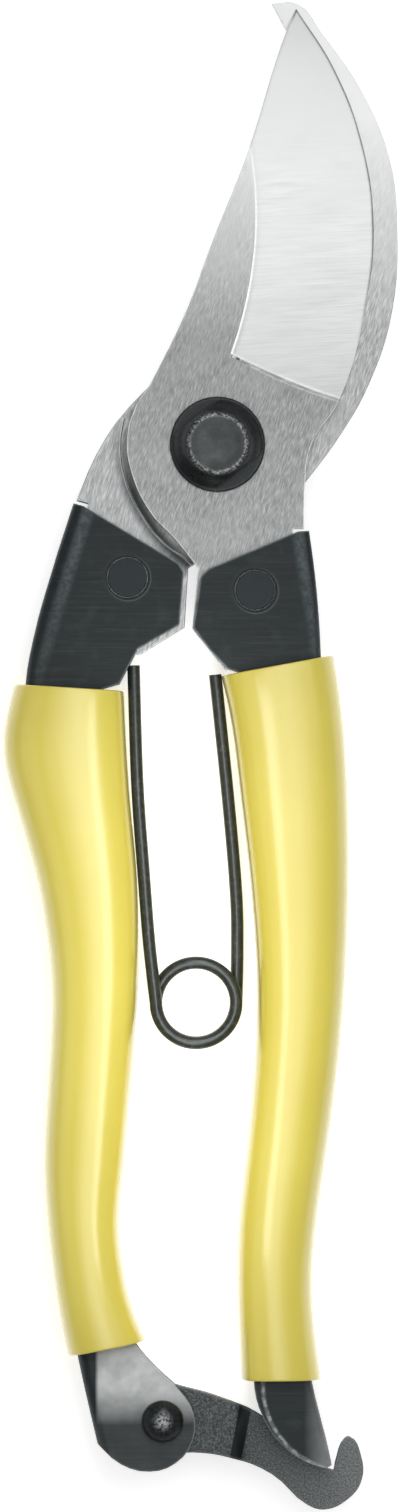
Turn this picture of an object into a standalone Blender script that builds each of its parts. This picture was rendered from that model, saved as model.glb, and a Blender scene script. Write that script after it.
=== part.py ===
"""Bypass pruning shears with sleeved steel handles, a hairpin spring and a hook latch.

The shears lie on their back. The origin is on the main pivot's axis, in the back face
of the pivot bolt's head. +X runs across the handles, towards the handle that holds the
cutting blade. +Y runs from the handles to the blade tips. +Z points out of the front,
along the pivot. Every length below is in millimetres until MM scales it to metres.
"""

import math

import bmesh
import bpy
from mathutils import Matrix, Vector

MM = 0.001
CORNER = "corner"
GAP = 0.3

# Heights of the layers, from the back face of the pivot bolt's head.
HEAD_TOP = 3.0
COUNTER_LOW, COUNTER_HIGH, COUNTER_TANG_HIGH = 3.3, 6.5, 8.6
CUTTING_LOW, CUTTING_HIGH = 6.7, 9.9
WASHER_LOW, WASHER_HIGH = 10.05, 11.05
NUT_LOW, NUT_SEAT, NUT_HIGH = 11.2, 12.0, 15.2
GRIP_LOW, GRIP_HIGH = 0.0, 13.6
MIDDLE = (GRIP_LOW + GRIP_HIGH) / 2

# The cutting blade's ground face: where its inner corner is, and its slopes in degrees.
GRIND_HEEL, GRIND_LEAN, GRIND_FALL, HEEL_SLOPE = (1.5, 12.3), -4.5, 8.4, 17.5

# Pressed handles: sheet thickness, outer depth of the channel and its bend.
SHEET = 1.5
CHANNEL_LOW, CHANNEL_HIGH = 2.0, 11.6
BEND = 2.4

# Pivot and rivets.
PIVOT_RADIUS, PIVOT_CLEARANCE = 3.0, 0.25
HEAD_RADIUS = 6.2
WASHER_RADIUS, NUT_RADIUS, NUT_TOP_RADIUS = 6.35, 6.1, 3.9
NUT_FLAT, NUT_FLAT_ANGLE = 4.55, 39.0
RIVET_RADIUS, RIVET_HEAD_RADIUS = 1.5, 2.6
LEFT_RIVET, RIGHT_RIVET = (-12.0, -17.7), (5.0, -19.4)

# Latch: a plate with a joggle, on a domed rivet at the foot of the left handle.
LATCH_PIVOT = (-7.3, -130.0)
LATCH_LOW, LATCH_HIGH = 6.2, 8.6
LATCH_STEP, JOGGLE_START, JOGGLE_END = -1.0, 2.4, 4.0
LATCH_WASHER_HIGH = 9.25
LATCH_SHANK, LATCH_HEAD = 1.9, 2.85

# Hairpin spring: wire, coil and its pitch.
WIRE = 0.85
COIL_CENTRE, COIL_RADIUS, COIL_TURNS = (-2.85, -74.4), 5.35, 1.5
COIL_FRONT, COIL_BACK = 8.15, 5.45
COIL_SPLIT_GAP = 19.0
LEFT_TIP, RIGHT_TIP = (-11.2, -29.4), (-0.3, -30.6)

# Sleeves: wall thickness, and how far the steel stands in from each side.
GRIP_WALL = 1.1
SPINE_INSET, MOUTH_INSET = 1.5, 2.4
GRIP_ROUND, HOLE_ROUND = 2.8, 5.0

# Grip stations, top to bottom: a point on the outer side, then one on the inner side.
LEFT_GRIP = [
    (-27.2, -31.9, -12.3, -32.8),
    (-28.9, -40.0, -12.0, -39.0),
    (-27.0, -48.0, -11.5, -47.5),
    (-24.2, -57.5, -10.6, -57.0),
    (-22.6, -67.0, -10.3, -67.0),
    (-22.1, -75.5, -10.7, -76.5),
    (-23.0, -90.0, -11.8, -90.0),
    (-23.2, -97.0, -12.5, -97.5),
    (-22.6, -105.0, -13.1, -104.5),
    (-21.4, -114.5, -11.8, -113.5),
    (-20.0, -121.4, -9.5, -119.3),
]
RIGHT_GRIP = [
    (15.6, -28.0, 0.4, -30.8),
    (16.9, -36.7, 1.8, -37.2),
    (17.5, -47.5, 3.1, -48.0),
    (17.6, -58.0, 4.3, -58.0),
    (17.2, -70.0, 5.2, -70.5),
    (16.3, -81.5, 5.0, -81.0),
    (14.6, -94.3, 3.8, -94.0),
    (13.1, -104.5, 2.7, -104.0),
    (12.6, -114.0, 2.6, -114.0),
    (13.9, -124.5, 3.1, -124.6),
]

CUTTING_BLADE = [
    (10.5, 58.2, CORNER), (15.5, 50.3), (19.2, 40.6), (20.8, 29.6), (19.9, 19.3),
    (16.1, 5.7), (12.4, -0.2), (11.6, -6.0), (11.5, -11.2, CORNER), (10.0, -11.2, CORNER),
    (10.9, -23.8, CORNER), (1.1, -30.2, CORNER), (-3.4, -24.5, CORNER), (-2.6, -16.4, CORNER),
    (-5.8, -12.4), (-8.8, -9.2), (-11.5, -3.5), (-12.0, 1.0), (-10.9, 5.0), (-9.0, 8.0, CORNER),
    (-4.4, 17.3), (-0.6, 27.3), (3.8, 38.4), (9.1, 55.0),
]
COUNTER_BLADE = [
    (7.2, 59.0, CORNER), (10.8, 58.9), (13.9, 55.1), (19.2, 47.4), (23.0, 38.2), (24.0, 29.6),
    (23.3, 17.7), (20.2, 8.1), (16.6, 1.7), (11.9, -4.7), (8.4, -9.2), (2.6, -12.2),
    (-3.9, -16.4, CORNER), (-4.4, -24.3, CORNER), (-10.2, -27.9, CORNER), (-18.6, -28.6, CORNER),
    (-20.4, -21.0, CORNER), (-17.3, -9.6, CORNER), (-17.3, -7.8, CORNER), (-18.8, -7.4, CORNER),
    (-16.1, -1.2), (-12.8, 3.9),
    (-9.3, 7.7), (-5.7, 11.1), (-0.3, 12.0), (5.0, 11.2), (9.7, 8.3), (12.6, 6.9), (15.4, 9.9),
    (18.4, 20.7), (18.8, 28.7), (17.0, 40.0), (13.2, 49.0), (9.1, 55.6, CORNER),
]
LEFT_SPINE = [(-19.2, -7.8), (-22.3, -17.5), (-24.6, -26.0), (-25.6, -32.0)]
LEFT_MOUTH_TOP = [
    (-16.2, -33.4), (-13.1, -31.9, CORNER), (-10.6, -27.2, CORNER), (-5.1, -24.0, CORNER),
    (-4.5, -17.0, CORNER), (-5.2, -15.8, CORNER), (-17.8, -8.2, CORNER),
]
LEFT_FOOT = [
    (-18.5, -122.0), (-16.0, -133.0, CORNER), (-12.9, -135.7), (-9.0, -136.7), (-5.6, -135.6),
    (-3.3, -132.6), (-3.2, -128.9), (-5.0, -126.0), (-8.0, -123.2), (-11.4, -119.2),
]
RIGHT_SPINE = [(12.2, -11.5), (13.0, -17.5), (13.5, -23.0), (13.9, -30.0)]
RIGHT_MOUTH_TOP = [
    (4.8, -31.6), (1.4, -29.9, CORNER), (-1.0, -27.3, CORNER), (-3.2, -24.4, CORNER),
    (-2.2, -17.6, CORNER), (-1.2, -16.6, CORNER), (10.7, -11.6, CORNER),
]
RIGHT_FOOT = [
    (12.4, -124.0), (14.6, -133.0), (15.2, -135.8, CORNER), (14.4, -136.2, CORNER), (11.7, -135.3),
    (8.4, -132.9), (6.0, -129.3), (4.9, -125.6), (5.0, -119.0),
]
LATCH = [
    (-7.3, -125.2), (-3.6, -125.8), (0.5, -127.0), (5.1, -129.0), (9.7, -132.5), (12.7, -135.0),
    (14.4, -136.4), (15.5, -136.8, CORNER), (15.8, -135.3), (16.9, -132.6), (17.6, -132.3),
    (19.2, -134.9), (19.2, -138.2), (17.4, -140.6), (14.2, -142.0), (11.9, -141.3),
    (7.3, -137.3), (1.6, -135.0), (-3.5, -134.3), (-7.3, -134.6), (-11.6, -132.6), (-11.8, -127.6),
]


def wipe():
    for thing in list(bpy.data.objects):
        bpy.data.objects.remove(thing, do_unlink=True)


def make_collection(name):
    group = bpy.data.collections.new(name)
    bpy.context.scene.collection.children.link(group)
    return group


def paint(name, colour, roughness, metallic):
    """A plain finish; the colour is linear RGB."""
    material = bpy.data.materials.new(name)
    material.use_nodes = True
    shader = material.node_tree.nodes["Principled BSDF"]
    shader.inputs["Base Color"].default_value = (*colour, 1.0)
    shader.inputs["Roughness"].default_value = roughness
    shader.inputs["Metallic"].default_value = metallic
    return material


def add_object(name, data, group):
    thing = bpy.data.objects.new(name, data)
    group.objects.link(thing)
    return thing


def evaluated_mesh(thing, name):
    """The mesh of an object with its modifiers applied."""
    bpy.context.view_layer.update()
    graph = bpy.context.evaluated_depsgraph_get()
    mesh = bpy.data.meshes.new_from_object(thing.evaluated_get(graph))
    mesh.name = name
    return mesh


def edit_mesh(mesh, change):
    work = bmesh.new()
    work.from_mesh(mesh)
    change(work)
    work.to_mesh(mesh)
    work.free()


def weld(work):
    """Joins a filled curve's loose caps to its walls."""
    bmesh.ops.remove_doubles(work, verts=work.verts, dist=0.00001)


def join_flat_faces(work):
    bmesh.ops.dissolve_limit(work, angle_limit=math.radians(0.5), verts=work.verts, edges=work.edges)


def plate(name, outline, low, high, group, steps=5):
    """A flat plate with a smooth outline. A point marked CORNER stays sharp."""
    curve = bpy.data.curves.new(name + "_outline", "CURVE")
    curve.dimensions = "2D"
    curve.fill_mode = "BOTH"
    curve.extrude = (high - low) / 2 * MM
    curve.resolution_u = steps
    spline = curve.splines.new("BEZIER")
    spline.bezier_points.add(len(outline) - 1)
    spline.use_cyclic_u = True
    spline.resolution_u = steps
    for knot, point in zip(spline.bezier_points, outline):
        knot.co = (point[0] * MM, point[1] * MM, 0.0)
        kind = "VECTOR" if CORNER in point else "AUTO"
        knot.handle_left_type = kind
        knot.handle_right_type = kind
    source = add_object(name + "_outline", curve, group)
    mesh = evaluated_mesh(source, name)
    bpy.data.objects.remove(source, do_unlink=True)
    mesh.transform(Matrix.Translation((0.0, 0.0, (low + high) / 2 * MM)))
    edit_mesh(mesh, weld)
    return add_object(name, mesh, group)


def turned(name, profile, centre, group, steps=40):
    """A closed solid turned about a Z axis; the profile is (radius, height), top to bottom."""
    work = bmesh.new()
    ring = [work.verts.new((radius * MM, 0.0, height * MM)) for radius, height in profile]
    for first, second in zip(ring, ring[1:]):
        work.edges.new((first, second))
    bmesh.ops.spin(
        work, geom=work.verts[:] + work.edges[:], cent=(0, 0, 0), axis=(0, 0, 1),
        angle=math.tau, steps=steps, use_merge=True,
    )
    bmesh.ops.remove_doubles(work, verts=work.verts, dist=0.00001)
    bmesh.ops.recalc_face_normals(work, faces=work.faces)
    mesh = bpy.data.meshes.new(name)
    work.to_mesh(mesh)
    work.free()
    piece = add_object(name, mesh, group)
    piece.location = (centre[0] * MM, centre[1] * MM, 0.0)
    return piece


def box(name, low, high, group):
    """An axis-aligned block between two corners."""
    work = bmesh.new()
    bmesh.ops.create_cube(work, size=1.0)
    size = Vector(high) - Vector(low)
    middle = (Vector(high) + Vector(low)) / 2
    bmesh.ops.scale(work, vec=size * MM, verts=work.verts)
    bmesh.ops.translate(work, vec=middle * MM, verts=work.verts)
    mesh = bpy.data.meshes.new(name)
    work.to_mesh(mesh)
    work.free()
    return add_object(name, mesh, group)


def rod(name, centre, radius, low, high, group, steps=40):
    """A plain round cutter or shank along Z."""
    profile = [(0.0, high), (radius, high), (radius, low), (0.0, low)]
    return turned(name, profile, centre, group, steps)


def hide(cutter):
    cutter.hide_render = True
    cutter.display_type = "WIRE"


def combine(thing, other, operation="DIFFERENCE"):
    hide(other)
    boolean = thing.modifiers.new(operation.title() + "_" + other.name, "BOOLEAN")
    boolean.operation = operation
    boolean.object = other
    boolean.solver = "EXACT"


def settle(thing):
    """Replaces an object's mesh by its evaluated one, so that vertex edits can follow."""
    mesh = evaluated_mesh(thing, thing.name)
    thing.modifiers.clear()
    thing.data = mesh
    edit_mesh(mesh, weld)
    edit_mesh(mesh, join_flat_faces)


def rim_bevel(thing, side, width):
    """Rounds the long rim edges of a plate where its wall faces side."""
    def change(work):
        join_flat_faces(work)
        chosen = []
        for edge in work.edges:
            normals = [face.normal for face in edge.link_faces]
            flat = [n for n in normals if abs(n.z) > 0.9]
            wall = [n for n in normals if abs(n.z) < 0.1 and n.dot(side) > 0.75]
            if flat and wall:
                chosen.append(edge)
        bmesh.ops.bevel(
            work, geom=chosen, offset=width * MM, offset_type="OFFSET", segments=4,
            profile=0.5, affect="EDGES", material=-1, clamp_overlap=True,
        )
    edit_mesh(thing.data, change)


def smooth_step(value):
    value = min(max(value, 0.0), 1.0)
    return value * value * (3.0 - 2.0 * value)


def pinch(thing, full, none, back_shift, front_shift):
    """Presses the two flanges of a channel together where Y goes from none to full."""
    floor, roof = CHANNEL_LOW + SHEET, CHANNEL_HIGH - SHEET
    slices = 5

    def change(work):
        for index in range(slices + 1):
            height = none + (full - none) * index / slices
            bmesh.ops.bisect_plane(
                work, geom=work.verts[:] + work.edges[:] + work.faces[:], dist=0.000001,
                plane_co=(0.0, height * MM, 0.0), plane_no=(0.0, 1.0, 0.0),
            )
        for vert in work.verts:
            share = smooth_step((vert.co.y / MM - none) / (full - none))
            rise = (vert.co.z / MM - floor) / (roof - floor)
            rise = min(max(rise, 0.0), 1.0)
            shift = back_shift + (front_shift - back_shift) * rise
            vert.co.z += shift * share * MM
        bmesh.ops.connect_verts_concave(work, faces=work.faces)
        bmesh.ops.triangulate(work, faces=work.faces)
    edit_mesh(thing.data, change)


def spline_stations(stations, per_span):
    """Catmull-Rom stations through the given ones, ends included."""
    found = []
    for index in range(len(stations) - 1):
        before = stations[max(index - 1, 0)]
        here, there = stations[index], stations[index + 1]
        after = stations[min(index + 2, len(stations) - 1)]
        for step in range(per_span):
            t = step / per_span
            found.append(tuple(
                0.5 * (2 * b + (c - a) * t + (2 * a - 5 * b + 4 * c - d) * t * t
                       + (3 * b - a - 3 * c + d) * t ** 3)
                for a, b, c, d in zip(before, here, there, after)
            ))
    found.append(tuple(stations[-1]))
    return found


def rounded(value, power):
    return math.copysign(abs(value) ** (2.0 / power), value)


def section(station, inset, power, sides):
    """Points of one sleeve section: a rounded rectangle across the station's two points."""
    outer, inner = Vector(station[:2]), Vector(station[2:])
    middle = (outer + inner) / 2
    across = inner - outer
    half_width = across.length / 2 - inset
    half_depth = (GRIP_HIGH - GRIP_LOW) / 2 - inset
    across.normalize()
    points = []
    for index in range(sides):
        angle = math.tau * (index + 0.5) / sides
        flat = middle + across * half_width * rounded(math.cos(angle), power)
        depth = MIDDLE + half_depth * rounded(math.sin(angle), power)
        points.append(Vector((flat.x, flat.y, depth)) * MM)
    return points


def sleeve(name, stations, group, per_span=2, sides=18):
    """A grip: a lofted skin with a hole right through, joined by a rim at each end."""
    work = bmesh.new()
    rings = []
    smooth = spline_stations(stations, per_span)
    for station in smooth:
        rings.append([work.verts.new(p) for p in section(station, 0.0, GRIP_ROUND, sides)])
    for station in reversed(smooth):
        rings.append([work.verts.new(p) for p in section(station, GRIP_WALL, HOLE_ROUND, sides)])
    for first, second in zip(rings, rings[1:] + rings[:1]):
        for index in range(sides):
            after = (index + 1) % sides
            work.faces.new((first[index], first[after], second[after], second[index]))
    bmesh.ops.recalc_face_normals(work, faces=work.faces)
    mesh = bpy.data.meshes.new(name)
    work.to_mesh(mesh)
    work.free()
    return add_object(name, mesh, group)


def offset_points(stations, side, inset):
    """Points of a handle's edge under its sleeve: side 0 is the spine, side 1 the mouth."""
    points = []
    for station in stations:
        outer, inner = Vector(station[:2]), Vector(station[2:])
        inward = (inner - outer).normalized()
        point = outer + inward * inset if side == 0 else inner - inward * inset
        points.append((point.x, point.y))
    return points


def shifted(points, distance):
    return [(point[0] + distance, *point[1:]) for point in points]


def channel(name, spine_top, grip, foot, mouth_top, side, group, cutters):
    """A pressed channel: an outline with a wall along its spine only, open at the mouth."""
    spine = spine_top + offset_points(grip[2:-1], 0, SPINE_INSET)
    mouth = offset_points(grip[1:-1], 1, MOUTH_INSET)[::-1]
    outline = [(*spine[0], CORNER)] + spine[1:] + foot + mouth + mouth_top
    body = plate(name, outline, CHANNEL_LOW, CHANNEL_HIGH, group, steps=3)
    rim_bevel(body, Vector((side, 0.0, 0.0)), BEND)
    inner = [(x - side * SHEET, y) for x, y, *_ in spine + foot[:2]]
    far = -side * 60.0
    top, bottom = spine[0][1] + 20.0, foot[0][1] - 20.0
    hollow = [(inner[0][0], top, CORNER), (*inner[0], CORNER)] + inner[1:-1]
    hollow += [(*inner[-1], CORNER), (inner[-1][0] + side * 1.5, bottom, CORNER)]
    hollow += [(far, bottom, CORNER), (far, top, CORNER)]
    cavity = plate(name + "_cavity", hollow, CHANNEL_LOW + SHEET, CHANNEL_HIGH - SHEET, cutters, 3)
    rim_bevel(cavity, Vector((side, 0.0, 0.0)), BEND - SHEET)
    combine(body, cavity)
    settle(body)
    return body


def bore(thing, centre, radius, low, high, cutters, steps=40):
    combine(thing, rod(thing.name + "_bore", centre, radius, low, high, cutters, steps))


def joint_empty(name, centre, things, group, parent=None):
    """An empty on a joint's axis, and the pieces that turn with it."""
    place = Vector((centre[0] * MM, centre[1] * MM, 0.0))
    axis = add_object(name, None, group)
    axis.empty_display_size = 0.01
    axis.location = place
    if parent:
        axis.parent = parent
        axis.location = place - parent.location
    for thing in things:
        thing.parent = axis
        thing.location = thing.location - place
    return axis


def make_cutting_blade(group, cutters, material):
    blade = plate("cutting_blade", CUTTING_BLADE, CUTTING_LOW, CUTTING_HIGH, group)
    # The ground face: one flat cut that leaves the front along the grind line, ends in a
    # step above the pivot, and comes out at the back face along the cutting edge.
    grind = box("grind", (0.0, 0.0, 0.0), (40.0, 60.0, 10.0), cutters)
    lean = Matrix.Rotation(math.radians(GRIND_LEAN), 4, "Z")
    fall = Matrix.Rotation(math.radians(GRIND_FALL), 4, "Y")
    for vert in grind.data.vertices:
        if vert.co.y < 0.03:
            vert.co.y -= math.tan(math.radians(HEEL_SLOPE)) * vert.co.x
    place = Matrix.Translation((GRIND_HEEL[0] * MM, GRIND_HEEL[1] * MM, CUTTING_HIGH * MM))
    grind.data.transform(place @ lean @ fall)
    combine(blade, grind)
    bore(blade, (0.0, 0.0), PIVOT_RADIUS + PIVOT_CLEARANCE, 0.0, 20.0, cutters)
    bore(blade, RIGHT_RIVET, RIVET_RADIUS + PIVOT_CLEARANCE, 0.0, 20.0, cutters, 24)
    blade.data.materials.append(material)
    return blade


def make_counter_blade(group, cutters, material):
    blade = plate("counter_blade", COUNTER_BLADE, COUNTER_LOW, COUNTER_TANG_HIGH, group)
    # Everything but the tang is cut down to the bearing face that the cutting blade slides on.
    seat = [
        (-30.0, 3.6, CORNER), (-12.4, 3.6, CORNER), (-12.9, 0.5), (-12.4, -4.2), (-10.1, -9.4),
        (-7.0, -13.2), (-4.6, -14.9, CORNER), (-2.9, -16.5, CORNER), (-2.9, -40.0, CORNER),
        (60.0, -40.0, CORNER), (60.0, 80.0, CORNER), (-30.0, 80.0, CORNER),
    ]
    step = plate("bearing_face", seat, COUNTER_HIGH, COUNTER_TANG_HIGH + 5.0, cutters)
    combine(blade, step)
    bore(blade, (0.0, 0.0), PIVOT_RADIUS + PIVOT_CLEARANCE, 0.0, 20.0, cutters)
    bore(blade, LEFT_RIVET, RIVET_RADIUS + PIVOT_CLEARANCE, 0.0, 20.0, cutters, 24)
    blade.data.materials.append(material)
    return blade


def make_pivot(group, cutters, materials):
    head = HEAD_RADIUS
    bolt = turned("pivot_bolt", [
        (0.0, NUT_HIGH - 1.6), (PIVOT_RADIUS - 0.3, NUT_HIGH - 1.6), (PIVOT_RADIUS, NUT_HIGH - 1.9),
        (PIVOT_RADIUS, HEAD_TOP), (head, HEAD_TOP), (head, 1.2), (head - 0.8, 0.0), (0.0, 0.0),
    ], (0.0, 0.0), group)
    bolt.data.materials.append(materials["blackened"])
    hole = PIVOT_RADIUS + PIVOT_CLEARANCE
    washer = turned("pivot_washer", [
        (hole, WASHER_HIGH), (WASHER_RADIUS - 0.2, WASHER_HIGH), (WASHER_RADIUS, WASHER_HIGH - 0.2),
        (WASHER_RADIUS, WASHER_LOW), (hole, WASHER_LOW), (hole, WASHER_HIGH),
    ], (0.0, 0.0), group)
    washer.data.materials.append(materials["blackened"])
    nut = turned("pivot_nut", [
        (0.0, NUT_HIGH), (NUT_TOP_RADIUS - 0.4, NUT_HIGH), (NUT_TOP_RADIUS, NUT_HIGH - 0.25),
        (NUT_TOP_RADIUS + 0.7, NUT_HIGH - 1.3), (NUT_RADIUS - 0.6, NUT_HIGH - 2.4),
        (NUT_RADIUS, NUT_SEAT), (NUT_RADIUS, NUT_LOW), (hole, NUT_LOW),
        (hole, NUT_HIGH - 1.2), (0.0, NUT_HIGH - 1.2),
    ], (0.0, 0.0), group)
    nut.data.materials.append(materials["blackened"])
    turn = Matrix.Rotation(math.radians(NUT_FLAT_ANGLE), 4, "Z")
    for side in (1.0, -1.0):
        edges = sorted((side * NUT_FLAT, side * 12.0))
        flat = box("nut_flat", (-12.0, edges[0], NUT_LOW - 1.0), (12.0, edges[1], 20.0), cutters)
        flat.data.transform(turn)
        combine(nut, flat)


def tang_rivet(name, centre, low, high, tang, group, material):
    """A flush rivet: its heads fill the flanges, and its shank the tang."""
    rivet = turned(name, [
        (0.0, high), (RIVET_HEAD_RADIUS, high), (RIVET_HEAD_RADIUS, tang[1] + 0.15),
        (RIVET_RADIUS, tang[1] + 0.15), (RIVET_RADIUS, tang[0] - 0.15),
        (RIVET_HEAD_RADIUS, tang[0] - 0.15), (RIVET_HEAD_RADIUS, low), (0.0, low),
    ], centre, group, 28)
    rivet.data.materials.append(material)


def make_left_handle(group, cutters, materials):
    handle = channel(
        "left_handle", LEFT_SPINE, LEFT_GRIP, LEFT_FOOT, LEFT_MOUTH_TOP, -1.0, group, cutters,
    )
    back = COUNTER_LOW - 0.15 - (CHANNEL_LOW + SHEET)
    front = COUNTER_TANG_HIGH + 0.15 - (CHANNEL_HIGH - SHEET)
    pinch(handle, -31.0, -45.0, back, front)
    foot_back = LATCH_LOW - 0.15 - (CHANNEL_LOW + SHEET)
    foot_front = LATCH_WASHER_HIGH + 0.15 - (CHANNEL_HIGH - SHEET)
    pinch_foot = (-124.0, -112.0)
    pinch(handle, *pinch_foot, foot_back, foot_front)
    bore(handle, LEFT_RIVET, RIVET_HEAD_RADIUS + 0.15, 0.0, 20.0, cutters, 28)
    bore(handle, LATCH_PIVOT, LATCH_SHANK + 0.2, 0.0, 20.0, cutters, 28)
    handle.data.materials.append(materials["slate"])
    tang_rivet(
        "left_tang_rivet", LEFT_RIVET, CHANNEL_LOW + back, CHANNEL_HIGH + front,
        (COUNTER_LOW, COUNTER_TANG_HIGH), group, materials["slate"],
    )
    latch_rivet(CHANNEL_LOW + foot_back, CHANNEL_HIGH + foot_front, group, materials["blackened"])


def make_right_handle(group, cutters, materials):
    handle = channel(
        "right_handle", RIGHT_SPINE, RIGHT_GRIP, RIGHT_FOOT, RIGHT_MOUTH_TOP, 1.0, group, cutters,
    )
    back = CUTTING_LOW - 0.15 - (CHANNEL_LOW + SHEET)
    front = CUTTING_HIGH + 0.15 - (CHANNEL_HIGH - SHEET)
    pinch(handle, -31.0, -45.0, back, front)
    # The hook's beak passes through this slot in the spine's foot as the handles open.
    slot_low, slot_high = LATCH_LOW + LATCH_STEP - 0.4, LATCH_HIGH + LATCH_STEP + 0.4
    slot = box("beak_slot", (8.0, -140.0, slot_low), (24.0, -131.6, slot_high), cutters)
    combine(handle, slot)
    bore(handle, RIGHT_RIVET, RIVET_HEAD_RADIUS + 0.15, 0.0, 20.0, cutters, 28)
    handle.data.materials.append(materials["slate"])
    tang_rivet(
        "right_tang_rivet", RIGHT_RIVET, CHANNEL_LOW + back, CHANNEL_HIGH + front,
        (CUTTING_LOW, CUTTING_HIGH), group, materials["slate"],
    )


def latch_rivet(low, high, group, material):
    """A headed pin through the handle's foot; the front head is domed."""
    head = LATCH_HEAD
    rivet = turned("latch_rivet", [
        (0.0, high + 1.9), (head * 0.55, high + 1.7), (head * 0.88, high + 1.1),
        (head, high + GAP), (LATCH_SHANK, high + GAP), (LATCH_SHANK, low - GAP),
        (head, low - GAP), (head * 0.9, low - 1.0), (0.0, low - 1.2),
    ], LATCH_PIVOT, group, 28)
    rivet.data.materials.append(material)


def make_latch(group, cutters, material):
    latch = plate("latch", LATCH, LATCH_LOW, LATCH_HIGH, group, steps=4)

    def joggle(work):
        for place in (JOGGLE_START, JOGGLE_END):
            bmesh.ops.bisect_plane(
                work, geom=work.verts[:] + work.edges[:] + work.faces[:], dist=0.000001,
                plane_co=(place * MM, 0.0, 0.0), plane_no=(1.0, 0.0, 0.0),
            )
        for vert in work.verts:
            share = (vert.co.x / MM - JOGGLE_START) / (JOGGLE_END - JOGGLE_START)
            vert.co.z += LATCH_STEP * min(max(share, 0.0), 1.0) * MM
    edit_mesh(latch.data, joggle)
    bore(latch, LATCH_PIVOT, LATCH_SHANK + 0.2, 0.0, 20.0, cutters, 28)
    latch.data.materials.append(material)
    joint_empty("latch_swing", LATCH_PIVOT, [latch], group)


def make_latch_washer(group, material):
    hole, edge = LATCH_SHANK + 0.2, 4.2
    low, high = LATCH_HIGH + 0.15, LATCH_WASHER_HIGH
    washer = turned("latch_washer", [
        (hole, high), (edge, high), (edge, low), (hole, low), (hole, high),
    ], LATCH_PIVOT, group, 28)
    washer.data.materials.append(material)


def wire(name, points, group, material):
    """A round wire through the points, as one curve with closed ends."""
    curve = bpy.data.curves.new(name, "CURVE")
    curve.dimensions = "3D"
    curve.bevel_depth = WIRE * MM
    curve.bevel_resolution = 2
    curve.use_fill_caps = True
    spline = curve.splines.new("POLY")
    spline.points.add(len(points) - 1)
    for knot, point in zip(spline.points, points):
        knot.co = (*(value * MM for value in point), 1.0)
    arm = add_object(name, curve, group)
    arm.data.materials.append(material)
    return arm


def coil_point(angle):
    """A point of the coil; the angle runs on from 180 degrees at the left arm."""
    share = (angle - 180.0) / (360.0 * COIL_TURNS)
    turn = math.radians(angle)
    return (
        COIL_CENTRE[0] + COIL_RADIUS * math.cos(turn),
        COIL_CENTRE[1] + COIL_RADIUS * math.sin(turn),
        COIL_FRONT + (COIL_BACK - COIL_FRONT) * share,
    )


def make_spring(group, material):
    """Two arms of one wire, parted at the top of the coil so that they can turn."""
    left = spline_stations([
        (*LEFT_TIP, 7.2), (-10.7, -45.0, 7.6), (-9.85, -57.0, 7.9), (-9.1, -66.5, 8.1),
        coil_point(180.0),
    ], 3)
    middle = 180.0 + 360.0 * COIL_TURNS / 2
    left_end = middle - COIL_SPLIT_GAP / 2
    turns = 20
    left += [coil_point(180.0 + (left_end - 180.0) * i / turns) for i in range(1, turns + 1)]
    right_end = middle + COIL_SPLIT_GAP / 2
    last = 180.0 + 360.0 * COIL_TURNS
    right = [coil_point(right_end + (last - right_end) * i / turns) for i in range(turns)]
    right += spline_stations([
        coil_point(last), (2.65, -67.5, 5.5), (2.5, -60.0, 5.7), (1.5, -48.0, 6.0),
        (*RIGHT_TIP, 6.4),
    ], 3)
    left_arm = wire("spring_left_arm", left, group, material)
    right_arm = wire("spring_right_arm", right, group, material)
    foot = joint_empty("spring_left_turn", LEFT_TIP, [left_arm], group)
    joint_empty("spring_right_turn", COIL_CENTRE, [right_arm], group, foot)


def main():
    wipe()
    shears = make_collection("pruning_shears")
    cutters = make_collection("cutters")
    materials = {
        "polished": paint("blade_steel", (0.72, 0.73, 0.73), 0.3, 1.0),
        "slate": paint("slate_paint", (0.035, 0.045, 0.05), 0.38, 0.2),
        "blackened": paint("blackened_steel", (0.05, 0.055, 0.055), 0.4, 0.7),
        "vinyl": paint("yellow_vinyl", (0.76, 0.66, 0.11), 0.3, 0.0),
        "spring": paint("spring_steel", (0.06, 0.065, 0.06), 0.35, 0.8),
    }
    make_cutting_blade(shears, cutters, materials["polished"])
    make_counter_blade(shears, cutters, materials["polished"])
    make_pivot(shears, cutters, materials)
    make_left_handle(shears, cutters, materials)
    make_right_handle(shears, cutters, materials)
    for name, stations in (("left_grip", LEFT_GRIP), ("right_grip", RIGHT_GRIP)):
        grip = sleeve(name, stations, shears)
        grip.data.materials.append(materials["vinyl"])
    make_spring(shears, materials["spring"])
    make_latch(shears, cutters, materials["blackened"])
    make_latch_washer(shears, materials["blackened"])
    right_lever = ("cutting_blade", "right_handle", "right_grip", "right_tang_rivet")
    joint_empty("handles_open", (0.0, 0.0), [bpy.data.objects[name] for name in right_lever], shears)


main()
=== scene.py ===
# %% [markdown]
# # Bypass pruning shears
# These are one-handed garden shears. A curved cutting blade slides past a hooked counter
# blade on a pivot bolt, and each blade is riveted into a pressed steel handle with a
# yellow vinyl grip. A hairpin spring opens them, and a hook latch holds them shut.
# The engineering model comes in first. It fixes every size and every joint, so this
# script only makes finer surfaces in the same places and gives them their finishes.

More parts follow.
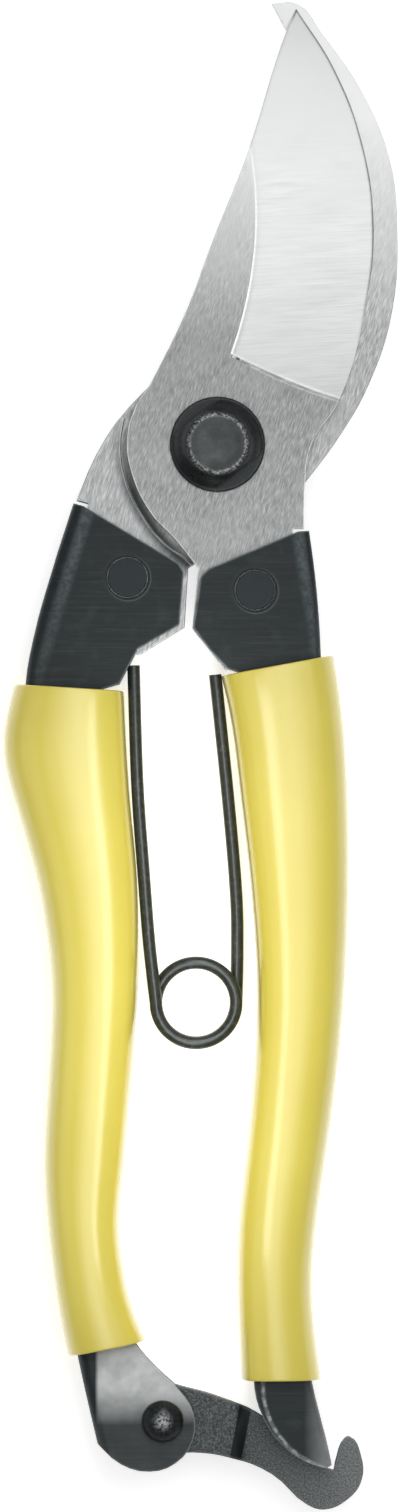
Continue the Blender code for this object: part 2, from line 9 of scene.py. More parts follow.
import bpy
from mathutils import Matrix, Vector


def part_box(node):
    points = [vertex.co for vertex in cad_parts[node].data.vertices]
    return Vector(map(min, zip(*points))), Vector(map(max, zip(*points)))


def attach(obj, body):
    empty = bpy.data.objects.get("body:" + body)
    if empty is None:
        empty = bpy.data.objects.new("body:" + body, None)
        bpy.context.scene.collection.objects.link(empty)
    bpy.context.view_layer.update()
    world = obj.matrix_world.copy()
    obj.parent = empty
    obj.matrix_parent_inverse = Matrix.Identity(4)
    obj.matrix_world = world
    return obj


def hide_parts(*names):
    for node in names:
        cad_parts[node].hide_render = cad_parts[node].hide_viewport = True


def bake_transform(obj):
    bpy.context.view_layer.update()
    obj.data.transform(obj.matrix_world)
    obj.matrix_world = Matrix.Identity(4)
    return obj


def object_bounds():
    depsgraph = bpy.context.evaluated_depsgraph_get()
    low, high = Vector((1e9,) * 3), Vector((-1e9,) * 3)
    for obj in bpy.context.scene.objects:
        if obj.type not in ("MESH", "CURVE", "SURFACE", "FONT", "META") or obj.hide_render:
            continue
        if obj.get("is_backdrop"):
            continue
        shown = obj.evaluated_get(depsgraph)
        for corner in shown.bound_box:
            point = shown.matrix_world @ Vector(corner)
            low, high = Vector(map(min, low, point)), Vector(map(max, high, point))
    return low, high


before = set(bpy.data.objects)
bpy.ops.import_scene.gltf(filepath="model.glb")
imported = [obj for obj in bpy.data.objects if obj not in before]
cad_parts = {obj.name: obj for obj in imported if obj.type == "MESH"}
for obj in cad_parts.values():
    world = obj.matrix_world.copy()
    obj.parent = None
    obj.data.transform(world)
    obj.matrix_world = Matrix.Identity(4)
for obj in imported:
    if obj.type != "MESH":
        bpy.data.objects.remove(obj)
cad_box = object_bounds()
print("nodes:", ", ".join(sorted(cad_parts)))

# %% Modelling tools and the unit
import math

import bmesh
import bpy
from mathutils import Matrix, Vector

MM = 0.001
scene = bpy.context.scene
print("one drawing unit is", MM, "m")

# %% [markdown]
# ## Camera, floor and light
# The shears lie flat and the camera looks straight down from far away, so a long lens
# keeps the far end as large as the near end. The floor is a white board that gives off a
# little light of its own, so that it stays white. A strip light hangs over the middle:
# each grip rolls away from it, so the strip draws one long soft line down each of them. A
# narrow low strip lights the gap between the grips. A ceiling lamp and three banks light
# the steel, and the sky is stronger at the horizon than overhead.

# %% Camera
VIEW_MIDDLE = (-2.33, -41.47, 8.0)
VIEW_HEIGHT = 201.6
VIEW_DISTANCE = 1300.0
SENSOR_WIDTH = 36.0

camera_data = bpy.data.cameras.new("camera")
camera_data.sensor_width = SENSOR_WIDTH
camera_data.lens = SENSOR_WIDTH * VIEW_DISTANCE / VIEW_HEIGHT
camera_data.clip_start = 0.01
camera = bpy.data.objects.new("camera", camera_data)
camera.location = Vector(VIEW_MIDDLE) * MM + Vector((0.0, 0.0, VIEW_DISTANCE * MM))
scene.collection.objects.link(camera)
scene.camera = camera
print("lens", round(camera_data.lens, 1), "mm")

# %% Floor
FLOOR_GLOW = 0.6
FLOOR_HALF = 1.5
FLOOR_LEVEL = -0.0002

floor_material = bpy.data.materials.new("white_board")
floor_material.use_nodes = True
board = floor_material.node_tree.nodes["Principled BSDF"]
board.inputs["Base Color"].default_value = (0.92, 0.92, 0.92, 1.0)
board.inputs["Roughness"].default_value = 0.9
board.inputs["Emission Color"].default_value = (1.0, 1.0, 1.0, 1.0)
board.inputs["Emission Strength"].default_value = FLOOR_GLOW

floor_work = bmesh.new()
bmesh.ops.create_grid(floor_work, x_segments=1, y_segments=1, size=FLOOR_HALF)
floor_mesh = bpy.data.meshes.new("floor")
floor_work.to_mesh(floor_mesh)
floor_work.free()
floor_mesh.materials.append(floor_material)
floor = bpy.data.objects.new("floor", floor_mesh)
floor.location = (0.0, 0.0, FLOOR_LEVEL)
scene.collection.objects.link(floor)
floor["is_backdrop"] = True
print("floor is", 2 * FLOOR_HALF, "m square")

# %% Lights
SKY_AT_HORIZON, SKY_OVERHEAD = 0.42, 0.15

world = bpy.data.worlds.new("studio")
world.use_nodes = True
sky_tree = world.node_tree
sky = sky_tree.nodes["Background"]
toward = sky_tree.nodes.new("ShaderNodeTexCoord")
split = sky_tree.nodes.new("ShaderNodeSeparateXYZ")
rise = sky_tree.nodes.new("ShaderNodeMapRange")
rise.interpolation_type = "SMOOTHSTEP"
rise.inputs["From Min"].default_value = 0.0
rise.inputs["From Max"].default_value = 0.95
rise.inputs["To Min"].default_value = SKY_AT_HORIZON
rise.inputs["To Max"].default_value = SKY_OVERHEAD
sky.inputs["Color"].default_value = (1.0, 1.0, 1.0, 1.0)
sky_tree.links.new(toward.outputs["Generated"], split.inputs["Vector"])
sky_tree.links.new(split.outputs["Z"], rise.inputs["Value"])
sky_tree.links.new(rise.outputs["Result"], sky.inputs["Strength"])
scene.world = world


def softbox(name, place, aim, width, length, watts):
    """A rectangular lamp that points at aim, with its long side along Y."""
    lamp_data = bpy.data.lights.new(name, "AREA")
    lamp_data.shape = "RECTANGLE"
    lamp_data.size = width * MM
    lamp_data.size_y = length * MM
    lamp_data.energy = watts
    lamp = bpy.data.objects.new(name, lamp_data)
    lamp.location = Vector(place) * MM
    look = Vector(aim) * MM - lamp.location
    lamp.rotation_euler = look.to_track_quat("-Z", "Y").to_euler()
    lamp.visible_camera = False
    scene.collection.objects.link(lamp)
    return lamp


softbox("strip", (-3.0, -85.0, 200.0), (-3.0, -85.0, 0.0), 60.0, 210.0, 0.06)
softbox("gap_strip", (-3.2, -72.0, 44.0), (-3.2, -72.0, 0.0), 9.0, 76.0, 0.011)
softbox("ceiling", (0.0, -40.0, 1400.0), (0.0, -40.0, 0.0), 800.0, 900.0, 1.75)
softbox("top_bank", (60.0, 420.0, 620.0), (5.0, 20.0, 0.0), 420.0, 300.0, 1.0)
softbox("left_bank", (-520.0, -60.0, 520.0), (0.0, -60.0, 0.0), 300.0, 500.0, 0.3)
softbox("right_bank", (270.0, 110.0, 700.0), (10.0, 35.0, 0.0), 280.0, 560.0, 0.7)
scene.view_settings.view_transform = "Standard"
print("six softboxes and a pale sky")

# %% [markdown]
# ## Effects that several finishes share
# Five small node groups do the repeated work. **Grain** is noise stretched along one
# direction, which is what abrasive belts leave on steel. **Edge wear and glint** compares
# the true surface normal with a rounded one, so it is high only near a sharp edge, and
# noise breaks it up; it paints both worn edges and the line of light that a sharp edge
# catches, a painted highlight. **Speckle** is fine, round noise for cast skin and dull
# oxide. **Ring** is a band at one radius about an axis, for rims, for painted highlights on
# domes and beside rivets, for a painted shadow and for the line round a flush rivet.
# **Stripe** is a straight soft band, for the painted sheen along a bend and the painted
# shade on the latch's joggle.

# %% A helper for node groups


def new_group(name, inputs, outputs):
    """An empty shader node group; sockets are (name, type, default)."""
    group = bpy.data.node_groups.new(name, "ShaderNodeTree")
    for label, kind, default in inputs:
        socket = group.interface.new_socket(label, in_out="INPUT", socket_type=kind)
        socket.default_value = default
    for label, kind in outputs:
        group.interface.new_socket(label, in_out="OUTPUT", socket_type=kind)
    entry = group.nodes.new("NodeGroupInput")
    leave = group.nodes.new("NodeGroupOutput")
    return group, entry, leave


FLOAT = "NodeSocketFloat"
VECTOR = "NodeSocketVector"

# %% Grain
grain, entry, leave = new_group(
    "Grain",
    [("Turn", VECTOR, (0.0, 0.0, 0.0)), ("Stretch", VECTOR, (900.0, 30.0, 300.0)),
     ("Contrast", FLOAT, 1.0)],
    [("Value", FLOAT)],
)
place = grain.nodes.new("ShaderNodeTexCoord")
turn = grain.nodes.new("ShaderNodeMapping")
turn.vector_type = "TEXTURE"
stretch = grain.nodes.new("ShaderNodeVectorMath")
stretch.operation = "MULTIPLY"
noise = grain.nodes.new("ShaderNodeTexNoise")
noise.inputs["Scale"].default_value = 1.0
noise.inputs["Detail"].default_value = 4.0
noise.inputs["Roughness"].default_value = 0.65
centre = grain.nodes.new("ShaderNodeMath")
centre.operation = "SUBTRACT"
centre.inputs[1].default_value = 0.5
gain = grain.nodes.new("ShaderNodeMath")
gain.operation = "MULTIPLY_ADD"
gain.inputs[2].default_value = 0.5
gain.use_clamp = True
grain.links.new(place.outputs["Object"], turn.inputs["Vector"])
grain.links.new(entry.outputs["Turn"], turn.inputs["Rotation"])
grain.links.new(turn.outputs["Vector"], stretch.inputs[0])
grain.links.new(entry.outputs["Stretch"], stretch.inputs[1])
grain.links.new(stretch.outputs["Vector"], noise.inputs["Vector"])
grain.links.new(noise.outputs["Fac"], centre.inputs[0])
grain.links.new(centre.outputs["Value"], gain.inputs[0])
grain.links.new(entry.outputs["Contrast"], gain.inputs[1])
grain.links.new(gain.outputs["Value"], leave.inputs["Value"])
print("made", grain.name)

# %% Edge wear and glint
edge_wear_and_glint, entry, leave = new_group(
    "Edge wear and glint",
    [("Radius", FLOAT, 0.0004), ("Gain", FLOAT, 6.0), ("Patch scale", FLOAT, 700.0)],
    [("Mask", FLOAT)],
)
# High near sharp edges: used for real edge wear and for painted highlights on edges.
rounded = edge_wear_and_glint.nodes.new("ShaderNodeBevel")
rounded.samples = 6
true_face = edge_wear_and_glint.nodes.new("ShaderNodeNewGeometry")
agree = edge_wear_and_glint.nodes.new("ShaderNodeVectorMath")
agree.operation = "DOT_PRODUCT"
differ = edge_wear_and_glint.nodes.new("ShaderNodeMath")
differ.operation = "SUBTRACT"
differ.inputs[0].default_value = 1.0
patches = edge_wear_and_glint.nodes.new("ShaderNodeTexNoise")
patches.inputs["Detail"].default_value = 3.0
where = edge_wear_and_glint.nodes.new("ShaderNodeTexCoord")
patchy = edge_wear_and_glint.nodes.new("ShaderNodeMath")
patchy.operation = "MULTIPLY"
strong = edge_wear_and_glint.nodes.new("ShaderNodeMath")
strong.operation = "MULTIPLY"
strong.use_clamp = True
edge_wear_and_glint.links.new(entry.outputs["Radius"], rounded.inputs["Radius"])
edge_wear_and_glint.links.new(rounded.outputs["Normal"], agree.inputs[0])
edge_wear_and_glint.links.new(true_face.outputs["Normal"], agree.inputs[1])
edge_wear_and_glint.links.new(agree.outputs["Value"], differ.inputs[1])
edge_wear_and_glint.links.new(where.outputs["Object"], patches.inputs["Vector"])
edge_wear_and_glint.links.new(entry.outputs["Patch scale"], patches.inputs["Scale"])
edge_wear_and_glint.links.new(differ.outputs["Value"], patchy.inputs[0])
edge_wear_and_glint.links.new(patches.outputs["Fac"], patchy.inputs[1])
edge_wear_and_glint.links.new(patchy.outputs["Value"], strong.inputs[0])
edge_wear_and_glint.links.new(entry.outputs["Gain"], strong.inputs[1])
edge_wear_and_glint.links.new(strong.outputs["Value"], leave.inputs["Mask"])
print("made", edge_wear_and_glint.name)

# %% Speckle
speckle, entry, leave = new_group(
    "Speckle", [("Scale", FLOAT, 1000.0), ("Detail", FLOAT, 3.0)], [("Value", FLOAT)],
)
where = speckle.nodes.new("ShaderNodeTexCoord")
noise = speckle.nodes.new("ShaderNodeTexNoise")
speckle.links.new(where.outputs["Object"], noise.inputs["Vector"])
speckle.links.new(entry.outputs["Scale"], noise.inputs["Scale"])
speckle.links.new(entry.outputs["Detail"], noise.inputs["Detail"])
speckle.links.new(noise.outputs["Fac"], leave.inputs["Value"])
print("made", speckle.name)

# %% Ring
ring_mask, entry, leave = new_group(
    "Ring",
    [("Centre", VECTOR, (0.0, 0.0, 0.0)), ("Radius", FLOAT, 0.004), ("Width", FLOAT, 0.0003)],
    [("Mask", FLOAT), ("Inside", FLOAT)],
)
where = ring_mask.nodes.new("ShaderNodeTexCoord")
offset = ring_mask.nodes.new("ShaderNodeVectorMath")
offset.operation = "SUBTRACT"
level = ring_mask.nodes.new("ShaderNodeVectorMath")
level.operation = "MULTIPLY"
level.inputs[1].default_value = (1.0, 1.0, 0.0)
far = ring_mask.nodes.new("ShaderNodeVectorMath")
far.operation = "LENGTH"
past = ring_mask.nodes.new("ShaderNodeMath")
past.operation = "SUBTRACT"
gap = ring_mask.nodes.new("ShaderNodeMath")
gap.operation = "ABSOLUTE"
band = ring_mask.nodes.new("ShaderNodeMapRange")
band.interpolation_type = "SMOOTHSTEP"
band.inputs["To Min"].default_value = 1.0
band.inputs["To Max"].default_value = 0.0
inner = ring_mask.nodes.new("ShaderNodeMath")
inner.operation = "LESS_THAN"
ring_mask.links.new(where.outputs["Object"], offset.inputs[0])
ring_mask.links.new(entry.outputs["Centre"], offset.inputs[1])
ring_mask.links.new(offset.outputs["Vector"], level.inputs[0])
ring_mask.links.new(level.outputs["Vector"], far.inputs[0])
ring_mask.links.new(far.outputs["Value"], past.inputs[0])
ring_mask.links.new(entry.outputs["Radius"], past.inputs[1])
ring_mask.links.new(past.outputs["Value"], gap.inputs[0])
ring_mask.links.new(gap.outputs["Value"], band.inputs["Value"])
ring_mask.links.new(entry.outputs["Width"], band.inputs["From Max"])
ring_mask.links.new(far.outputs["Value"], inner.inputs[0])
ring_mask.links.new(entry.outputs["Radius"], inner.inputs[1])
ring_mask.links.new(band.outputs["Result"], leave.inputs["Mask"])
ring_mask.links.new(inner.outputs["Value"], leave.inputs["Inside"])
print("made", ring_mask.name)

# %% Stripe
stripe_mask, entry, leave = new_group(
    "Stripe",
    [("Across", VECTOR, (1.0, 0.0, 0.0)), ("Middle", FLOAT, 0.0), ("Half width", FLOAT, 0.001),
     ("Softness", FLOAT, 0.0005)],
    [("Mask", FLOAT)],
)
where = stripe_mask.nodes.new("ShaderNodeTexCoord")
reach = stripe_mask.nodes.new("ShaderNodeVectorMath")
reach.operation = "DOT_PRODUCT"
past = stripe_mask.nodes.new("ShaderNodeMath")
past.operation = "SUBTRACT"
gap = stripe_mask.nodes.new("ShaderNodeMath")
gap.operation = "ABSOLUTE"
outer = stripe_mask.nodes.new("ShaderNodeMath")
outer.operation = "ADD"
band = stripe_mask.nodes.new("ShaderNodeMapRange")
band.interpolation_type = "SMOOTHSTEP"
band.inputs["To Min"].default_value = 1.0
band.inputs["To Max"].default_value = 0.0
stripe_mask.links.new(where.outputs["Object"], reach.inputs[0])
stripe_mask.links.new(entry.outputs["Across"], reach.inputs[1])
stripe_mask.links.new(reach.outputs["Value"], past.inputs[0])
stripe_mask.links.new(entry.outputs["Middle"], past.inputs[1])
stripe_mask.links.new(past.outputs["Value"], gap.inputs[0])
stripe_mask.links.new(entry.outputs["Half width"], outer.inputs[0])
stripe_mask.links.new(entry.outputs["Softness"], outer.inputs[1])
stripe_mask.links.new(gap.outputs["Value"], band.inputs["Value"])
stripe_mask.links.new(entry.outputs["Half width"], band.inputs["From Min"])
stripe_mask.links.new(outer.outputs["Value"], band.inputs["From Max"])
stripe_mask.links.new(band.outputs["Result"], leave.inputs["Mask"])
print("made", stripe_mask.name)

# %% [markdown]
# ## Finishes
# Each finish is one Principled shader. A small helper places it with a chain of colour
# mixes: every layer has a mask and the colour that shows through where the mask is high.

# %% Helpers for a finish


def finish(name, colour, roughness, metallic):
    """A new material, its tree and its shader."""
    material = bpy.data.materials.new(name)
    material.use_nodes = True
    tree = material.node_tree
    shader = tree.nodes["Principled BSDF"]
    shader.inputs["Base Color"].default_value = (*colour, 1.0)
    shader.inputs["Roughness"].default_value = roughness
    shader.inputs["Metallic"].default_value = metallic
    return material, tree, shader


def use_group(tree, group, **values):
    """Places a node group; a value's name has _ where the socket's has a space."""
    node = tree.nodes.new("ShaderNodeGroup")
    node.node_tree = group
    for label, value in values.items():
        node.inputs[label.replace("_", " ")].default_value = value
    return node


def ramp(tree, source, stops):
    """A colour ramp; stops are (position, linear RGB)."""
    node = tree.nodes.new("ShaderNodeValToRGB")
    scale = node.color_ramp
    while len(scale.elements) < len(stops):
        scale.elements.new(0.5)
    for element, (position, colour) in zip(scale.elements, stops):
        element.position = position
        element.color = (*colour, 1.0)
    tree.links.new(source, node.inputs["Fac"])
    return node.outputs["Color"]


def layer(tree, mask, under, over, way="MIX"):
    """Mixes one colour over another where the mask is high."""
    node = tree.nodes.new("ShaderNodeMix")
    node.data_type = "RGBA"
    node.blend_type = way
    tree.links.new(mask, node.inputs["Factor"])
    for value, socket in ((under, node.inputs["A"]), (over, node.inputs["B"])):
        if isinstance(value, tuple):
            socket.default_value = (*value, 1.0)
        else:
            tree.links.new(value, socket)
    return node.outputs["Result"]


def spread(tree, source, low, high, start=0.0, stop=1.0):
    """Maps a value from start..stop to low..high."""
    node = tree.nodes.new("ShaderNodeMapRange")
    node.inputs["From Min"].default_value = start
    node.inputs["From Max"].default_value = stop
    node.inputs["To Min"].default_value = low
    node.inputs["To Max"].default_value = high
    tree.links.new(source, node.inputs["Value"])
    return node.outputs["Result"]


def relief(tree, shader, height, distance, strength=1.0):
    """Feeds a height into the shader's normal; distance is in metres."""
    node = tree.nodes.new("ShaderNodeBump")
    node.inputs["Strength"].default_value = strength
    node.inputs["Distance"].default_value = distance
    tree.links.new(height, node.inputs["Height"])
    tree.links.new(node.outputs["Normal"], shader.inputs["Normal"])


def clouds(tree, scale, detail=3.0):
    """Plain noise on Object coordinates."""
    return use_group(tree, speckle, Scale=scale, Detail=detail).outputs["Value"]


def ring(tree, centre, radius, width):
    """The ring group, with its sizes in millimetres."""
    place = (centre[0] * MM, centre[1] * MM, 0.0)
    return use_group(tree, ring_mask, Centre=place, Radius=radius * MM, Width=width * MM)


def stripe(tree, start, stop, half_width, softness):
    """A band along the line from start to stop, with sizes in millimetres."""
    line = Vector(stop) - Vector(start)
    across = Vector((line.y, -line.x, 0.0)).normalized()
    middle = across.x * start[0] + across.y * start[1]
    node = use_group(
        tree, stripe_mask, Across=tuple(across), Middle=middle * MM,
        Half_width=half_width * MM, Softness=softness * MM,
    )
    return node.outputs["Mask"]


def times(tree, first, second):
    """The product of two masks."""
    node = tree.nodes.new("ShaderNodeMath")
    node.operation = "MULTIPLY"
    for value, socket in ((first, node.inputs[0]), (second, node.inputs[1])):
        tree.links.new(value, socket)
    return node.outputs["Value"]


def along(tree, axis):
    """One Object coordinate, in metres."""
    where = tree.nodes.new("ShaderNodeTexCoord")
    split = tree.nodes.new("ShaderNodeSeparateXYZ")
    tree.links.new(where.outputs["Object"], split.inputs["Vector"])
    return split.outputs[axis]


print("finish helpers ready")

# %% [markdown]
# ### Blade steel
# The flats of both blades were belt-ground along their length, which leaves steep fine
# lines and a satin grey, and a painted highlight makes it brighter towards the tip. The
# bevel was then ground across, so its lines are nearly level; it is much brighter, partly
# from that grinding and partly as a painted highlight, and towards the tip it eases to a
# slightly darker, even grey as painted shade. A dark line of painted shade, the shadow
# under the edge, runs along its cutting edge, and the step at its lower end and its rim
# are painted a rough pale grey as a painted highlight. The counter blade has a painted
# shadow along the front blade.

# %% Blade steel
SHADOW_CENTRE = (10.15, 2.5)
SHADOW_RADIUS, SHADOW_WIDTH = 23.2, 1.9


def blade_steel(name, brightness, shadowed):
    """Belt-ground steel; the counter blade also has a painted shadow along the front blade."""
    material, tree, shader = finish(name, (0.24, 0.25, 0.25), 0.36, 1.0)
    lines = use_group(
        tree, grain, Turn=(0.0, 0.0, math.radians(-17.0)), Stretch=(6500.0, 700.0, 900.0),
        Contrast=2.6,
    )
    tone = ramp(tree, lines.outputs["Value"], [
        (place, (grey * brightness, grey * brightness * 1.03, grey * brightness * 1.03))
        for place, grey in ((0.0, 0.145), (0.5, 0.225), (1.0, 0.33))
    ])
    cloudy = clouds(tree, 130.0)
    tone = layer(tree, spread(tree, cloudy, 0.0, 0.5, 0.35, 0.75), tone, (0.285, 0.292, 0.292))
    rise_y = along(tree, "Y")
    # Painted highlight: the flats are painted brighter towards the tip.
    tone = layer(tree, spread(tree, rise_y, 0.0, 1.0, 0.014, 0.044), tone, (0.66, 0.665, 0.665))
    # Painted shadow: a dark band on the counter blade just outside the front blade's rounded edge,
    # low and left of the pivot.
    if shadowed:
        shadow_ring = ring(tree, SHADOW_CENTRE, SHADOW_RADIUS, SHADOW_WIDTH).outputs["Mask"]
        low = spread(tree, rise_y, 1.0, 0.0, -0.006, 0.004)
        left = spread(tree, along(tree, "X"), 1.0, 0.0, -0.003, -0.001)
        front_blade_shadow = times(tree, shadow_ring, times(tree, low, left))
        tone = layer(tree, front_blade_shadow, tone, (0.03, 0.034, 0.034))
    # Painted highlight: a pale line where the steel's edges catch light.
    edge = use_group(tree, edge_wear_and_glint, Radius=0.00035, Gain=7.0, Patch_scale=500.0)
    tone = layer(tree, edge.outputs["Mask"], tone, (0.62, 0.62, 0.62))
    tree.links.new(tone, shader.inputs["Base Color"])
    tree.links.new(spread(tree, lines.outputs["Value"], 0.44, 0.32), shader.inputs["Roughness"])
    relief(tree, shader, lines.outputs["Value"], 0.00002, 0.3)
    print("made", material.name)
    return material


steel = blade_steel("blade_steel_satin", 1.0, False)
counter_steel = blade_steel("blade_steel_shadowed", 1.4, True)

# %% Ground bevel
ground, tree, shader = finish("blade_steel_ground", (0.6, 0.61, 0.61), 0.3, 1.0)
lines = use_group(
    tree, grain, Turn=(0.0, 0.0, math.radians(4.0)), Stretch=(160.0, 4200.0, 160.0), Contrast=1.7,
)
# Partly painted highlight: the bevel's tones are set far paler than the flats', beyond what the
# cross grind gives.
tone = ramp(tree, lines.outputs["Value"], [
    (0.0, (0.55, 0.56, 0.56)), (0.5, (0.65, 0.658, 0.658)), (1.0, (0.73, 0.736, 0.736)),
])
cloudy = clouds(tree, 90.0)
tone = layer(tree, spread(tree, cloudy, 0.0, 0.5, 0.35, 0.8), tone, (0.62, 0.63, 0.63))
rise_y = along(tree, "Y")
# Painted shade: towards the tip the bevel eases to a slightly darker, even grey.
tone = layer(tree, spread(tree, rise_y, 0.0, 1.0, 0.018, 0.046), tone, (0.6, 0.605, 0.605))
# Painted shade: a dark line along the cutting edge stands for the shadow under it.
edge = use_group(tree, edge_wear_and_glint, Radius=0.0006, Gain=30.0, Patch_scale=200.0)
above_heel = spread(tree, rise_y, 0.0, 1.0, 0.012, 0.026)
right_side = spread(tree, along(tree, "X"), 0.25, 1.0, 0.0098, 0.0104)
sharp_side = times(tree, above_heel, right_side)
tone = layer(tree, times(tree, edge.outputs["Mask"], sharp_side), tone, (0.035, 0.04, 0.04))
tree.links.new(tone, shader.inputs["Base Color"])
tree.links.new(spread(tree, lines.outputs["Value"], 0.4, 0.28), shader.inputs["Roughness"])
relief(tree, shader, lines.outputs["Value"], 0.00002, 0.2)
print("made", ground.name)

# %% Painted highlight at the heel
# Painted highlight: the step at the bevel's lower end and its rim are painted a rough pale grey.
heel_highlight, tree, shader = finish("blade_steel_heel_highlight", (0.8, 0.81, 0.81), 0.5, 0.1)
fine = clouds(tree, 700.0)
tone = ramp(tree, fine, [(0.35, (0.5, 0.51, 0.51)), (0.6, (0.88, 0.89, 0.89))])
tree.links.new(tone, shader.inputs["Base Color"])
print("made", heel_highlight.name)

# %% [markdown]
# ### Slate paint, blackened steel and the latch's skin
# The handles have a thin satin paint with level brush marks. Their edges are bright,
# partly from wear and partly as a painted highlight, a painted sheen runs along each
# bend, and their feet are painted paler as a painted highlight, with a painted highlight
# line along the right foot's flange. A fine dark line runs round each flush rivet, with a
# faint painted highlight crescent inside it. The nut, bolt, washers and latch rivet are
# blackened steel, with painted highlights round the rim of the nut's dome and on the
# rivet's crown; the top of the dome is painted a lighter grey in patches. The latch was
# forged and blackened, which leaves a fine dry speckle; it is painted paler towards its
# hook as a painted highlight, and its joggle is painted dark as painted shade.

# %% Slate paint
LATCH_PIVOT = (-7.3, -130.0)
FLANGE_CENTRE = (17.4, -125.2)
FLANGE_RADIUS, FLANGE_WIDTH = 11.35, 0.42
RIVETS = {"left": (-12.0, -17.7), "right": (5.0, -19.4)}
BENDS = {"left": ((-17.4, -9.3), (-24.0, -31.3)), "right": ((10.7, -12.0), (13.3, -28.4))}


def foot_sheen(tree, side):
    """Where a foot gets a painted highlight; for the side rim, where the flange's painted highlight
    line shows.
    """
    if side == "left":
        upper = spread(tree, along(tree, "Y"), 0.05, 1.0, -0.1305, -0.1255)
        below_grip = spread(tree, along(tree, "Y"), 1.0, 0.0, -0.090, -0.080)
        inward = spread(tree, along(tree, "X"), 0.0, 1.0, -0.0163, -0.0158)
        return times(tree, times(tree, upper, below_grip), inward)
    lower = spread(tree, along(tree, "Y"), 1.0, 0.0, -0.120, -0.112)
    if side == "rim":
        return times(tree, lower, spread(tree, clouds(tree, 1300.0, 5.0), 0.35, 1.0, 0.42, 0.55))
    return times(tree, lower, spread(tree, along(tree, "X"), 0.0, 0.45, 0.0115, 0.0150))


def slate_paint(side):
    """The handles' paint; each side has its own rivet line and foot."""
    material, tree, shader = finish("slate_paint_" + side, (0.014, 0.02, 0.022), 0.38, 0.0)
    shader.inputs["Specular IOR Level"].default_value = 0.22
    lines = use_group(
        tree, grain, Turn=(0.0, 0.0, 0.0), Stretch=(110.0, 2600.0, 300.0), Contrast=1.5,
    )
    tone = ramp(tree, lines.outputs["Value"], [
        (0.0, (0.008, 0.013, 0.0145)), (0.6, (0.014, 0.021, 0.023)), (1.0, (0.03, 0.04, 0.043)),
    ])
    cloudy = clouds(tree, 420.0, 5.0)
    tone = layer(tree, spread(tree, cloudy, 0.0, 0.5, 0.55, 0.8), tone, (0.035, 0.045, 0.048))
    # Painted sheen: a lighter, broken band along each bend above the grip.
    sheen_noise = spread(tree, clouds(tree, 1700.0, 6.0), 0.35, 1.0, 0.35, 0.65)
    above_grip = spread(tree, along(tree, "Y"), 0.35, 1.0, -0.030, -0.014)
    sheen = times(tree, times(tree, stripe(tree, *BENDS[side], 0.1, 1.1), above_grip), sheen_noise)
    tone = layer(tree, sheen, tone, (0.085, 0.105, 0.11))
    # Painted highlight: the left foot is paler at its top, the right foot towards its outer side.
    foot_highlight = times(tree, foot_sheen(tree, side), spread(tree, cloudy, 0.7, 1.0, 0.3, 0.6))
    tone = layer(tree, foot_highlight, tone, (0.62, 0.64, 0.64))
    # Bright edges: partly worn paint, partly a painted highlight.
    edge = use_group(tree, edge_wear_and_glint, Radius=0.0005, Gain=5.0, Patch_scale=900.0)
    tone = layer(tree, edge.outputs["Mask"], tone, (0.30, 0.33, 0.335))
    if side == "right":
        # Painted highlight: a bright line along the right foot's flange edge.
        bright_line = ring(tree, FLANGE_CENTRE, FLANGE_RADIUS, FLANGE_WIDTH)
        flange = times(tree, bright_line.outputs["Mask"], foot_sheen(tree, "rim"))
        tone = layer(tree, flange, tone, (0.36, 0.38, 0.38))
    about = ring(tree, RIVETS[side], 3.4, 0.02)
    tone = layer(tree, about.outputs["Inside"], tone, (0.016, 0.024, 0.027))
    # Painted highlight: a faint light crescent inside the line round each rivet.
    crescent = ring(tree, (RIVETS[side][0] + 0.12, RIVETS[side][1] - 0.12), 3.0, 0.16)
    tone = layer(tree, crescent.outputs["Mask"], tone, (0.06, 0.075, 0.08))
    seam = ring(tree, RIVETS[side], 2.82, 0.26)
    tone = layer(tree, seam.outputs["Mask"], tone, (0.002, 0.003, 0.003))
    tree.links.new(tone, shader.inputs["Base Color"])
    tree.links.new(spread(tree, lines.outputs["Value"], 0.48, 0.34), shader.inputs["Roughness"])
    relief(tree, shader, lines.outputs["Value"], 0.00003, 0.3)
    print("made", material.name)
    return material


slate = {side: slate_paint(side) for side in RIVETS}

# %% Blackened steel
black, tree, shader = finish("blackened_steel_oiled", (0.035, 0.04, 0.042), 0.36, 0.4)
shader.inputs["Specular IOR Level"].default_value = 0.35
specks = clouds(tree, 2600.0, 5.0)
tone = ramp(tree, specks, [
    (0.3, (0.008, 0.011, 0.012)), (0.6, (0.019, 0.023, 0.024)), (0.85, (0.06, 0.065, 0.066)),
])
# The top of the nut's dome is painted a lighter grey in broad patches.
cap = ring(tree, (0.0, 0.0), 3.8, 0.02)
nut_patches = spread(tree, clouds(tree, 350.0, 4.0), 0.35, 1.0, 0.35, 0.65)
tone = layer(tree, times(tree, cap.outputs["Inside"], nut_patches), tone, (0.062, 0.071, 0.073))
# Painted highlight: a broken bright ring round the rim of the nut's dome.
rim = ring(tree, (0.0, 0.0), 3.85, 0.5)
flecks = times(tree, spread(tree, clouds(tree, 3600.0, 3.0), 0.0, 1.0, 0.42, 0.62), nut_patches)
tone = layer(tree, times(tree, rim.outputs["Mask"], flecks), tone, (0.42, 0.43, 0.42))
# Painted highlight: bright flecks on the latch rivet's crown.
crown = ring(tree, LATCH_PIVOT, 0.0, 1.7)
crown_highlight = times(tree, crown.outputs["Mask"], spread(tree, specks, 0.0, 1.0, 0.4, 0.55))
tone = layer(tree, crown_highlight, tone, (0.36, 0.37, 0.37))
